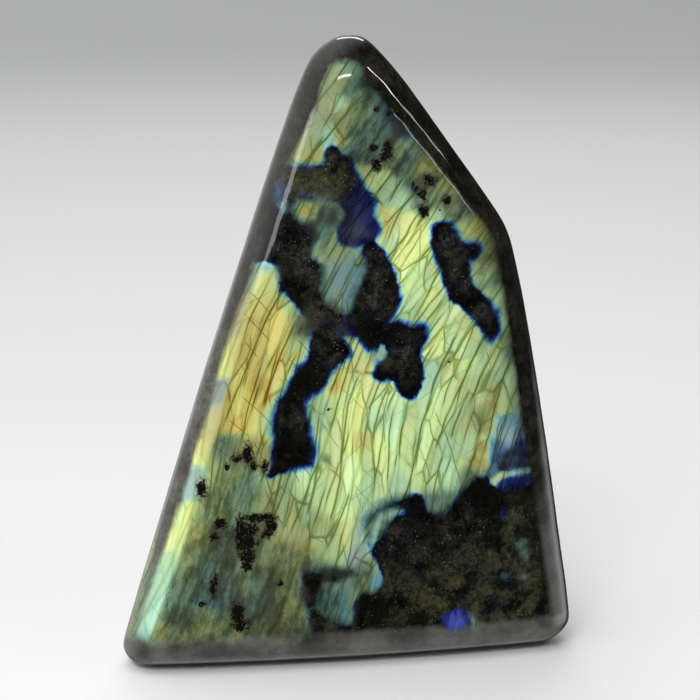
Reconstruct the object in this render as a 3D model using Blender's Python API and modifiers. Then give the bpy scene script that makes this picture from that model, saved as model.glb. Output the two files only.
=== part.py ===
"""A polished freeform of labradorite: a leaning triangular slab that stands on a sawn, flat base.

The stone is one solid. It starts as a block with its facets sawn flat. A voxel remesh gives it even
faces, and the polish then moves every point onto one smooth surface: the soft maximum of the facets,
which rounds each edge between two of them. The display face looks along -Y, and up is +Z.
"""

import math

import bmesh
import bpy
import numpy as np
from mathutils import Vector

MM = 0.001

# Outline of the display face, clockwise from the bottom left: (across, up) from the middle of the base.
OUTLINE_MM = [
    (-56.0, 0.0),
    (-61.1, 7.6),
    (-39.0, 73.0),
    (-15.2, 144.0),
    (-10.5, 150.5),
    (-4.0, 154.5),
    (3.0, 154.5),
    (9.2, 148.8),
    (38.6, 107.0),
    (42.1, 93.0),
    (54.9, 6.5),
    (48.5, 0.0),
]
# How far the side behind each run of the outline leans in towards the back, in degrees.
UNDERCUT_DEG = [4.0, 4.0, 5.0, 4.0, 4.0, 4.0, 8.0, 12.0, 15.0, 16.0, 16.0]
SIDE_BULGE_MM = 5000.0  # radius of the sides' slight outward curve

FACE_LEAN_DEG = 5.0  # the display face leans back by this much
FACE_CENTRE_MM = (0.0, -20.0, 65.0)
FACE_DOME_MM = (500.0, 1100.0)  # radii of the slightly domed face, across and up

# Section of the rim that runs round the face: (in from the outline, behind the face), face to side.
RIM_SECTION_MM = [(6.4, 0.0), (3.4, 1.5), (0.0, 7.0)]

# Facets of the back: (facing from +X towards +Y, looking up, both in degrees, middle, dome radius).
BACK_FACETS = [
    (90.0, 4.0, (-2.0, 25.0, 60.0), 900.0),
    (146.0, 13.0, (-37.0, 7.0, 58.0), 1500.0),
    (44.0, 9.0, (40.0, 11.0, 55.0), 1500.0),
    (122.0, 22.0, (-10.0, 18.0, 126.0), 600.0),
]

# How far the polish softens the edges between facets.
RIM_SOFTNESS_MM = 0.7
BACK_SOFTNESS_MM = 3.0
SIDE_SOFTNESS_MM = 1.5
BASE_SOFTNESS_MM = 1.2
BASE_LAPPED_MM = 0.05  # points this close to the base plane are ground flat

BLOCK_MM = (160.0, 90.0, 170.0)
FACE_SIZE_MM = 3.3
GRINDING_ROUNDS = 2  # the second round evens out the faces that the first crowds along the edges
POLISH_PASSES = 6

STONE_COLOUR = (0.075, 0.085, 0.07, 1.0)
STONE_ROUGHNESS = 0.12
STONE_IOR = 1.56


def clear_scene():
    for old in list(bpy.data.objects):
        bpy.data.objects.remove(old, do_unlink=True)


def direction(plan_deg, up_deg):
    """Unit vector from its angle in plan, measured from +X towards +Y, and its angle above the horizon."""
    plan, up = math.radians(plan_deg), math.radians(up_deg)
    return np.array([math.cos(plan) * math.cos(up), math.sin(plan) * math.cos(up), math.sin(up)])


FACE_NORMAL = direction(-90.0, FACE_LEAN_DEG)
FACE_UP = direction(90.0, 90.0 - FACE_LEAN_DEG)
FACE_ACROSS = np.array([1.0, 0.0, 0.0])


def on_face(across, up):
    """The point of the face's flat plane at this distance across and this height above the base."""
    middle = np.array(FACE_CENTRE_MM)
    return middle + FACE_ACROSS * (across - middle[0]) + FACE_UP * (up - middle[2]) / FACE_UP[2]


def domed_plane(points, middle, normal, radius):
    """How far points stand outside a facet that is domed with this radius, and the distance's slope."""
    offset = points - np.array(middle)
    along = offset @ normal
    across = offset - along[:, None] * normal
    return along + (across**2).sum(axis=1) / (2 * radius), normal + across / radius


def display_face(points):
    """The same for the display face, which is domed more across than up."""
    offset = points - np.array(FACE_CENTRE_MM)
    across, up = offset @ FACE_ACROSS, offset @ FACE_UP
    across_radius, up_radius = FACE_DOME_MM
    distance = offset @ FACE_NORMAL + across**2 / (2 * across_radius) + up**2 / (2 * up_radius)
    slope = FACE_NORMAL + np.outer(across / across_radius, FACE_ACROSS) + np.outer(up / up_radius, FACE_UP)
    return distance, slope


def turned_facet(side, face, start, turn):
    """A facet through one point of a rim's section, turned from the face towards the side by this angle."""
    inwards, behind = start
    distance = (side[0] + inwards) * math.sin(turn) + (face[0] + behind) * math.cos(turn)
    return distance, side[1] * math.sin(turn) + face[1] * math.cos(turn)


def bevels(side, face):
    """One facet for each straight run of the rim's section."""
    for (in_a, behind_a), (in_b, behind_b) in zip(RIM_SECTION_MM, RIM_SECTION_MM[1:]):
        turn = math.atan2(behind_b - behind_a, in_a - in_b)
        yield turned_facet(side, face, (in_a, behind_a), turn)


def rim_facets(points, face):
    """The bevels and the side wall along each run of the outline."""
    for start, end, undercut in zip(OUTLINE_MM, OUTLINE_MM[1:], UNDERCUT_DEG):
        a, b = on_face(*start), on_face(*end)
        outwards = np.cross(FACE_NORMAL, b - a)
        side = domed_plane(points, (a + b) / 2, outwards / np.linalg.norm(outwards), SIDE_BULGE_MM)
        yield from bevels(side, face)
        yield turned_facet(side, face, RIM_SECTION_MM[-1], math.radians(90.0 + undercut))


def soft_max(facets, softness):
    """The largest of the facets' distances, rounded off where two of them meet, and its slope."""
    distances = np.array([distance for distance, _ in facets])
    slopes = np.array([slope for _, slope in facets])
    highest = distances.max(axis=0)
    weights = np.exp((distances - highest) / softness)
    total = weights.sum(axis=0)
    slope = (weights[..., None] * slopes).sum(axis=0) / total[:, None]
    return highest + softness * np.log(total), slope


def stone_distance(points):
    """How far points stand outside the polished stone, in mm, with the slope of that distance."""
    face = display_face(points)
    base = (-points[:, 2], np.tile([0.0, 0.0, -1.0], (len(points), 1)))
    front = soft_max([face, *rim_facets(points, face), *bevels(base, face)], RIM_SOFTNESS_MM)
    back_facets = [
        domed_plane(points, middle, direction(plan, up), radius) for plan, up, middle, radius in BACK_FACETS
    ]
    back = soft_max(back_facets, BACK_SOFTNESS_MM)
    body = soft_max([front, back], SIDE_SOFTNESS_MM)
    return soft_max([body, base], BASE_SOFTNESS_MM)


def polished(points):
    """Points moved onto the polished surface, with the base lapped flat."""
    for _ in range(POLISH_PASSES):
        distance, slope = stone_distance(points)
        points = points - (distance / (slope**2).sum(axis=1))[:, None] * slope
    points[:, 2] = np.where(points[:, 2] < BASE_LAPPED_MM, 0.0, points[:, 2])
    return points


def rough_block():
    """A block with the stone's facets sawn flat, as it is before polishing."""
    bm = bmesh.new()
    bmesh.ops.create_cube(bm, size=1.0)
    bmesh.ops.scale(bm, vec=Vector(BLOCK_MM) * MM, verts=bm.verts)
    bmesh.ops.translate(bm, vec=(0.0, 0.0, BLOCK_MM[2] * MM / 2), verts=bm.verts)
    cuts = [(np.array(FACE_CENTRE_MM), FACE_NORMAL)]
    for start, end in zip(OUTLINE_MM, OUTLINE_MM[1:]):
        cuts.append((on_face(*start), np.cross(FACE_NORMAL, on_face(*end) - on_face(*start))))
    for plan, up, middle, _ in BACK_FACETS:
        cuts.append((np.array(middle), direction(plan, up)))
    for point, normal in cuts:
        everything = bm.verts[:] + bm.edges[:] + bm.faces[:]
        bmesh.ops.bisect_plane(bm, geom=everything, plane_co=point * MM, plane_no=normal, clear_outer=True)
        bmesh.ops.contextual_create(bm, geom=[edge for edge in bm.edges if edge.is_boundary])
    mesh = bpy.data.meshes.new("stone")
    bm.to_mesh(mesh)
    bm.free()
    return bpy.data.objects.new("stone", mesh)


def give_even_faces(stone):
    """Replaces the stone's faces with small faces of one size."""
    remesh = stone.modifiers.new("even_faces", "REMESH")
    remesh.mode = "VOXEL"
    remesh.voxel_size = FACE_SIZE_MM * MM
    evaluated = stone.evaluated_get(bpy.context.evaluated_depsgraph_get())
    mesh = bpy.data.meshes.new_from_object(evaluated)
    stone.modifiers.clear()
    stone.data = mesh


def points_of(mesh):
    """The mesh's points, in mm."""
    points = np.empty(len(mesh.vertices) * 3)
    mesh.vertices.foreach_get("co", points)
    return points.reshape(-1, 3) / MM


def move_points(mesh, points):
    mesh.vertices.foreach_set("co", (points * MM).ravel())
    mesh.update()


def centre(mesh):
    """Sets the middle of the stone's box over the origin."""
    points = points_of(mesh)
    middle = (points.min(axis=0) + points.max(axis=0)) / 2
    move_points(mesh, points - [middle[0], middle[1], 0.0])


def stone_material():
    material = bpy.data.materials.new("labradorite")
    material.use_nodes = True
    surface = material.node_tree.nodes["Principled BSDF"]
    surface.inputs["Base Color"].default_value = STONE_COLOUR
    surface.inputs["Roughness"].default_value = STONE_ROUGHNESS
    surface.inputs["Metallic"].default_value = 0.0
    surface.inputs["IOR"].default_value = STONE_IOR
    material.diffuse_color = STONE_COLOUR
    return material


def main():
    clear_scene()
    collection = bpy.data.collections.new("labradorite_freeform")
    bpy.context.scene.collection.children.link(collection)
    stone = rough_block()
    collection.objects.link(stone)
    for _ in range(GRINDING_ROUNDS):
        give_even_faces(stone)
        move_points(stone.data, polished(points_of(stone.data)))
    centre(stone.data)
    stone.data.name = "stone"
    stone.data.shade_smooth()
    stone.data.materials.append(stone_material())


main()
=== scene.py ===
import math

import bpy
import numpy as np
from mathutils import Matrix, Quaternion, Vector, noise


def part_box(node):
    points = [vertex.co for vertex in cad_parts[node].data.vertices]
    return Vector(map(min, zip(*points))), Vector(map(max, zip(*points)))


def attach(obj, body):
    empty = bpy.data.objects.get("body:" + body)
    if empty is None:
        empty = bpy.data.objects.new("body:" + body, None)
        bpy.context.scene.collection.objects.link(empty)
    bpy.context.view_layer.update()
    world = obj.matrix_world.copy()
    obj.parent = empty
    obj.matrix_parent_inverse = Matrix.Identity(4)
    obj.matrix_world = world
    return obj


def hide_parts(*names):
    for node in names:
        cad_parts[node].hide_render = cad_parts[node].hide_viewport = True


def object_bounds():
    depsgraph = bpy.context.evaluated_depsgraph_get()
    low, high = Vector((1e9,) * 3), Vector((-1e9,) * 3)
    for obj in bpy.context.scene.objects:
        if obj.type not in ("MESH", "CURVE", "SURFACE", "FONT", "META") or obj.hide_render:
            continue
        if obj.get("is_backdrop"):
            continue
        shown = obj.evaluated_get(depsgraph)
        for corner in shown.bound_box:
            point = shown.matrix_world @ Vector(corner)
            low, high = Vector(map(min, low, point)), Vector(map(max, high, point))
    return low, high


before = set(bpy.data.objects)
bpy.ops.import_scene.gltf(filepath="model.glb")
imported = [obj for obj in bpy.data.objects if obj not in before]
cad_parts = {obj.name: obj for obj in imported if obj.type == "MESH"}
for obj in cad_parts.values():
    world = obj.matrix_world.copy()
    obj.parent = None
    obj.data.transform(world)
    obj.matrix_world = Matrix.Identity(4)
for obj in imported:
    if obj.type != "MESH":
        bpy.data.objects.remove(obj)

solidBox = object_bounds()
mm = 0.001

# the stone's form in mm: the same facets as the solid that this piece stands for
stoneForm = {
    "outline": [
        (-56, 0), (-61.1, 7.6), (-39, 73), (-15.2, 144), (-10.5, 150.5), (-4, 154.5),
        (3, 154.5), (9.2, 148.8), (38.6, 107), (42.1, 93), (54.9, 6.5), (48.5, 0),
    ],
    "undercut": [4, 4, 5, 4, 4, 4, 8, 12, 15, 16, 16],
    "sideBulge": 5000,
    "faceLean": 5,
    "faceCentre": (0, -20, 65),
    "faceDome": (500, 1100),
    "rimSection": [(6.4, 0), (3.4, 1.5), (0, 7)],
    "backFacets": [
        (90, 4, (-2, 25, 60), 900),
        (146, 13, (-37, 7, 58), 1500),
        (44, 9, (40, 11, 55), 1500),
        (122, 22, (-10, 18, 126), 600),
    ],
    "softness": {"rim": 0.7, "back": 3, "side": 1.5, "base": 1.2},
    "lapped": 0.05,
    "block": (160, 90, 170),
    "grindSizes": (2, 0.72),  # mesh size of each grinding round
    "polishPasses": 5,
    "waveHeight": 0.14,  # the hand-ground waves in the polish
    "waves": [(1, 17, (0, 5, 0)), (0.35, 6, (4, 0, 2))],  # share, size, seed
    "pitDepth": 0.12,
    "pitEdge": (0.1, 0.6),  # how far into a soot speck its pit starts, and is full
    "lapEdge": (0.5, 4),  # no waves below the first height, all of them above the second
}


def direction(plan, up):
    plan, up = math.radians(plan), math.radians(up)
    return np.array([math.cos(plan) * math.cos(up), math.sin(plan) * math.cos(up), math.sin(up)])


faceNormal = direction(-90.0, stoneForm["faceLean"])
faceUp = direction(90.0, 90.0 - stoneForm["faceLean"])
faceAcross = np.array([1.0, 0.0, 0.0])
faceCentre = np.array(stoneForm["faceCentre"])


def onFace(across, up):
    return faceCentre + faceAcross * (across - faceCentre[0]) + faceUp * (up - faceCentre[2]) / faceUp[2]


# each of these gives (distance outside the facet, slope of that distance) for every point
def domedPlane(points, middle, normal, radius):
    offset = points - np.array(middle)
    along = offset @ normal
    across = offset - along[:, None] * normal
    return along + (across**2).sum(axis=1) / (2 * radius), normal + across / radius


def displayFace(points):
    offset = points - faceCentre
    across, up = offset @ faceAcross, offset @ faceUp
    acrossRadius, upRadius = stoneForm["faceDome"]
    distance = offset @ faceNormal + across**2 / (2 * acrossRadius) + up**2 / (2 * upRadius)
    slope = faceNormal + np.outer(across / acrossRadius, faceAcross) + np.outer(up / upRadius, faceUp)
    return distance, slope


def turnedFacet(side, face, start, turn):
    distance = (side[0] + start[0]) * math.sin(turn) + (face[0] + start[1]) * math.cos(turn)
    return distance, side[1] * math.sin(turn) + face[1] * math.cos(turn)


def bevels(side, face):
    section = stoneForm["rimSection"]
    for (inA, behindA), (inB, behindB) in zip(section, section[1:]):
        yield turnedFacet(side, face, (inA, behindA), math.atan2(behindB - behindA, inA - inB))


def rimFacets(points, face):
    outline = stoneForm["outline"]
    for start, end, undercut in zip(outline, outline[1:], stoneForm["undercut"]):
        a, b = onFace(*start), onFace(*end)
        outwards = np.cross(faceNormal, b - a)
        outwards /= np.linalg.norm(outwards)
        side = domedPlane(points, (a + b) / 2, outwards, stoneForm["sideBulge"])
        yield from bevels(side, face)
        yield turnedFacet(side, face, stoneForm["rimSection"][-1], math.radians(90.0 + undercut))


def softMax(facets, softness):
    distances = np.array([distance for distance, _ in facets])
    highest = distances.max(axis=0)
    weights = np.exp((distances - highest) / softness)
    total = weights.sum(axis=0)
    slope = sum(weight[:, None] * slope for weight, (_, slope) in zip(weights, facets)) / total[:, None]
    return highest + softness * np.log(total), slope


def stoneDistance(points):
    soft = stoneForm["softness"]
    face = displayFace(points)
    base = (-points[:, 2], np.tile([0.0, 0.0, -1.0], (len(points), 1)))
    front = softMax([face, *rimFacets(points, face), *bevels(base, face)], soft["rim"])
    facets = [domedPlane(points, middle, direction(plan, up), radius)
              for plan, up, middle, radius in stoneForm["backFacets"]]
    body = softMax([front, softMax(facets, soft["back"])], soft["side"])
    return softMax([body, base], soft["base"])


def polished(points):
    for _ in range(stoneForm["polishPasses"]):
        distance, slope = stoneDistance(points)
        points = points - (distance / (slope**2).sum(axis=1))[:, None] * slope
    points[:, 2] = np.where(points[:, 2] < stoneForm["lapped"], 0.0, points[:, 2])
    return points


def pointsOf(mesh):
    points = np.empty(len(mesh.vertices) * 3)
    mesh.vertices.foreach_get("co", points)
    return points.reshape(-1, 3) / mm


def movePoints(mesh, points):
    mesh.vertices.foreach_set("co", (points * mm).ravel())
    mesh.update()


def sawBlock():
    size = Vector(stoneForm["block"]) * mm
    bpy.ops.object.select_all(action="DESELECT")
    bpy.ops.mesh.primitive_cube_add(size=1.0, location=(0.0, 0.0, size.z / 2), scale=size)
    block = bpy.context.object
    bpy.ops.object.transform_apply(location=True, rotation=False, scale=True)
    outline = stoneForm["outline"]
    cuts = [(faceCentre, faceNormal)]
    for start, end in zip(outline, outline[1:]):
        cuts.append((onFace(*start), np.cross(faceNormal, onFace(*end) - onFace(*start))))
    for plan, up, middle, _ in stoneForm["backFacets"]:
        cuts.append((np.array(middle), direction(plan, up)))
    bpy.ops.object.mode_set(mode="EDIT")
    for point, normal in cuts:
        normal = normal / np.linalg.norm(normal)
        bpy.ops.mesh.select_all(action="SELECT")
        bpy.ops.mesh.bisect(plane_co=point * mm, plane_no=normal, use_fill=True, clear_outer=True)
    bpy.ops.object.mode_set(mode="OBJECT")
    return block


def grind(stone):
    for size in stoneForm["grindSizes"]:
        remesh = stone.modifiers.new("grind", "REMESH")
        remesh.mode = "VOXEL"
        remesh.voxel_size = size * mm
        bpy.ops.object.modifier_apply(modifier=remesh.name)
        movePoints(stone.data, polished(pointsOf(stone.data)))


# dark patches in the display face, as (across, up) in mm from the middle of the base
darkPatches = {
    "shoulder": [
        (-18.5, 122.3), (-15, 122.4), (-11.5, 122.2), (-8.5, 123.2), (-7.8, 126.5), (-6.6, 127.8),
        (-5.3, 125.8), (-3.8, 124.6), (-2.9, 122.4), (-1.6, 119.4), (-3.2, 116.6), (-6, 115.9), (-10, 116.2),
        (-12.5, 115.6), (-15.5, 115.4), (-17, 113.6), (-16.6, 111), (-14.5, 109.6), (-12.3, 109.9),
        (-11.5, 107.5), (-12.2, 104.5), (-12.7, 102), (-10.5, 99.8), (-9.9, 96.5), (-10.5, 93.3), (-9, 90.4),
        (-6, 87.9), (-7.2, 84.6), (-12.2, 84.8), (-12.9, 87.2), (-15.2, 89.8), (-17.1, 91.4), (-18.4, 93.6),
        (-19.8, 94.4), (-20.2, 98), (-20.5, 100.2), (-22.3, 101), (-27.5, 101.6), (-26, 106), (-24, 111),
        (-22.5, 116), (-22, 121),
    ],
    "hook": [
        (-12.2, 86), (-7, 86), (-7, 82.8), (-5, 81.5), (-3.9, 79.4), (-4.4, 77.6), (-6.5, 76.7), (-8.2, 75.4),
        (-9.3, 73.6), (-9.9, 72), (-11.2, 70.3), (-13, 69.5), (-14.9, 68.4), (-15.4, 66.5), (-15.1, 62.5),
        (-14.8, 59.4), (-13.8, 57), (-13.4, 54.6), (-14, 52.2), (-17.2, 51.9), (-20, 50.8), (-23.6, 49.7),
        (-22.3, 53), (-22.2, 57.5), (-21.6, 62), (-20.9, 65.6), (-19.7, 68.8), (-18.2, 71), (-16.8, 73.6),
        (-15, 75.7), (-13.3, 76.9), (-13, 79.8), (-12.3, 82.5),
    ],
    "eye": [
        (0.8, 104.6), (2.5, 105), (4.6, 102.3), (6.2, 99.4), (7.6, 96.4), (8.4, 93.7), (8.2, 90.8), (7, 88.1),
        (5.2, 86.2), (4.2, 84.4), (4, 81.5), (3, 79.6), (1.4, 79.9), (-0.6, 82), (-2.2, 84), (-4.2, 86.2),
        (-3.2, 88.9), (-2.3, 92.2), (-1, 95.2), (0.6, 98), (0.3, 101.4),
    ],
    "knot": [
        (4.2, 84), (6.2, 84.8), (8.2, 85.4), (9.9, 84.4), (11.2, 83.2), (13, 83.5), (14.7, 83.8),
        (14.8, 81.9), (13.9, 79.8), (13.5, 77.4), (13.8, 74.8), (14.2, 71.9), (13.3, 69.6), (12.5, 67.8),
        (11, 67.2), (9.2, 67.8), (8.1, 69.3), (7.4, 71.6), (5.8, 72.2), (3.8, 71.4), (2.4, 72.9), (3.4, 75.4),
        (5.6, 75.9), (6.1, 78.6), (5, 80.6), (3, 80.5),
    ],
    "sliver": [
        (17.4, 108), (19.5, 108.8), (21.5, 108), (22.4, 105.6), (23.9, 103.7), (26, 102.8), (28.3, 102.6),
        (27.4, 101.1), (25.8, 100), (25.7, 95.4), (27.3, 93.3), (29.1, 91.3), (30.8, 89.3), (32.1, 86.8),
        (32.7, 84), (32.5, 81.8), (31, 81.3), (29.5, 82.9), (27.3, 85.8), (24.4, 88.7), (21.5, 90.8),
        (20.2, 94.5), (19.5, 97.6), (18.5, 100), (17.8, 102.6), (17.2, 105.2),
    ],
    "pocketTop": [
        (-15.4, 25), (-11, 25.4), (-7, 25), (-4.4, 24.7), (-7, 22.8), (-10.6, 22.8), (-12.2, 19.6),
        (-12.6, 16), (-15.2, 16.4), (-15.8, 21),
    ],
    "pocketFoot": [
        (-15.4, 17.4), (-12.4, 15.4), (-9.6, 13.6), (-6.8, 12.2), (-4.4, 12), (-3.4, 14.4), (-2.6, 17.4),
        (-1.4, 19.4), (-0.6, 19.6), (-2, 9), (-12, 8),
    ],
    "corner": [
        (60, 44.4), (42, 43.9), (38.4, 43.2), (35, 42.8), (32.6, 43.4), (31, 44.6), (29.8, 46.4),
        (27.6, 46.6), (25.6, 45.2), (23.8, 43), (22, 40.6), (20.2, 38.8), (18, 38), (15, 38.4), (14.2, 41.5),
        (13, 42.8), (9.9, 43.1), (6.8, 42.4), (4.4, 41.4), (2.2, 40), (0.8, 38), (0.4, 35.6), (0.8, 33),
        (1.6, 30.4), (1.8, 28.6), (3, 26.4), (3.9, 24), (4.4, 22), (3.6, 20.2), (1.4, 19.3), (-0.9, 19.4),
        (-2.1, 16.9), (-3.2, 14), (-5, 11.6), (-6, -5), (60, -5),
    ],
}

# islands of flash inside the dark patches
flashIslands = {
    "swirl": [
        (-0.4, 31), (0.2, 34), (1, 37), (3, 39.2), (6, 40), (9.5, 39.8), (12, 39), (9.4, 38.2), (6.4, 37.8),
        (4.4, 36.6), (3.4, 34.2), (2.6, 32), (1.6, 29.6), (0.4, 29),
    ],
    "gleam": [
        (19, 12.5), (21, 13.6), (23.5, 13.8), (25.4, 12), (28, 10.4), (29.6, 7.4), (27, 6.6), (24.6, 7.6),
        (22, 7.2), (19.8, 8.6), (18.6, 10.4),
    ],
    "glint": [
        (-20.6, 120.6), (-19.4, 121), (-18.4, 118.4), (-18.2, 115.4), (-18, 112.2), (-18.8, 111.2),
        (-20.2, 112.6), (-21.2, 116.4),
    ],
    "spark": [(-7, 13.6), (-5.4, 15.6), (-3.6, 14.8), (-4.4, 12.8), (-5.8, 12.4)],
    "dropHigh": [(37.9, 29.4), (38.8, 30.6), (40.4, 30), (39.6, 28.8), (38.4, 28.4)],
    "dropMid": [(38.8, 27), (40, 27.6), (41.2, 26.6), (40.8, 25), (39.8, 25), (39.6, 26.2)],
    "dropLow": [(38.2, 20.9), (39.8, 21.7), (41, 21), (39.9, 20.2)],
    "dropFaint": [(34, 21.6), (34.8, 22.2), (35.6, 21.4), (34.8, 20.6)],
    "blueFaint": [(33, 37.4), (34.6, 38.6), (36, 37.4), (35.4, 36.2), (33.8, 36)],
}

# where the flash stays a deep blue
blueAreas = {
    "arm": [
        (-3.4, 120), (-1, 119.6), (0.6, 117.8), (2, 116), (2.8, 113.5), (2.4, 111.6), (3.2, 109.6),
        (3.5, 107.6), (2.6, 105.4), (0.8, 104.6), (-1.8, 104.3), (-4.2, 104.8), (-5.7, 106.2), (-5.8, 108),
        (-4.3, 109.6), (-3.4, 111.2), (-4, 113), (-5.4, 114.8), (-7.4, 115.9), (-3.5, 117),
    ],
    "bridge": [
        (-7.2, 85), (-5, 87.2), (-3.4, 87), (-1.6, 84.6), (0.2, 82.6), (-1.2, 82.2), (-3.4, 82.8),
        (-5.4, 83.2),
    ],
    "notch": [(-3.8, 124.6), (-2.4, 124.4), (-1.9, 121.8), (-0.9, 119.4), (-3.2, 119.6)],
    "gleam": [
        (18, 12), (20, 14.4), (23.5, 14.4), (25.4, 12), (26.2, 9.6), (24.8, 7), (22, 6.6), (19.2, 8),
        (17.8, 10),
    ],
    "faint": [(32, 38), (34.6, 39.6), (37, 37.8), (35.4, 35), (33, 35.4)],
}

# flash colours: place in the colour run from indigo (0) to copper (1), strength, and greyness
flashTones = {
    "indigo": (0.05, 0.4, 0), "royal": (0.13, 0.55, 0), "cobalt": (0.25, 0.6, 0.15),
    "slate": (0.22, 0.2, 0.3), "creamWhite": (0.56, 1.2, 0.3), "lilac": (0.36, 1.1, 0.75),
    "violet": (0.1, 2.4, 0.12), "azure": (0.27, 0.75, 0.1), "cyan": (0.34, 0.85, 0.05),
    "mist": (0.39, 0.68, 0.4), "ice": (0.37, 1, 0.55), "teal": (0.41, 0.28, 0.05), "mint": (0.46, 0.95, 0),
    "moss": (0.5, 0.32, 0.05), "sage": (0.55, 0.52, 0.35), "deepTeal": (0.43, 0.2, 0.05),
    "speckCyan": (0.33, 0.42, 0), "dustyMoss": (0.47, 0.25, 0.15), "leaf": (0.54, 0.66, 0),
    "lime": (0.535, 1.13, 0), "brightLime": (0.56, 1.28, 0), "straw": (0.63, 0.92, 0.05),
    "olive": (0.62, 0.5, 0.05), "gold": (0.71, 0.86, 0), "amber": (0.78, 0.72, 0), "bronze": (0.74, 0.5, 0.1),
    "ash": (0.5, 0.17, 0.6),
}

# what lies between the dabs: tone, weight, and how far a dab still reaches
flashRest = {"tone": (0.55, 0.5, 0.3), "weight": 1e-6, "tail": 0.02}

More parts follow.
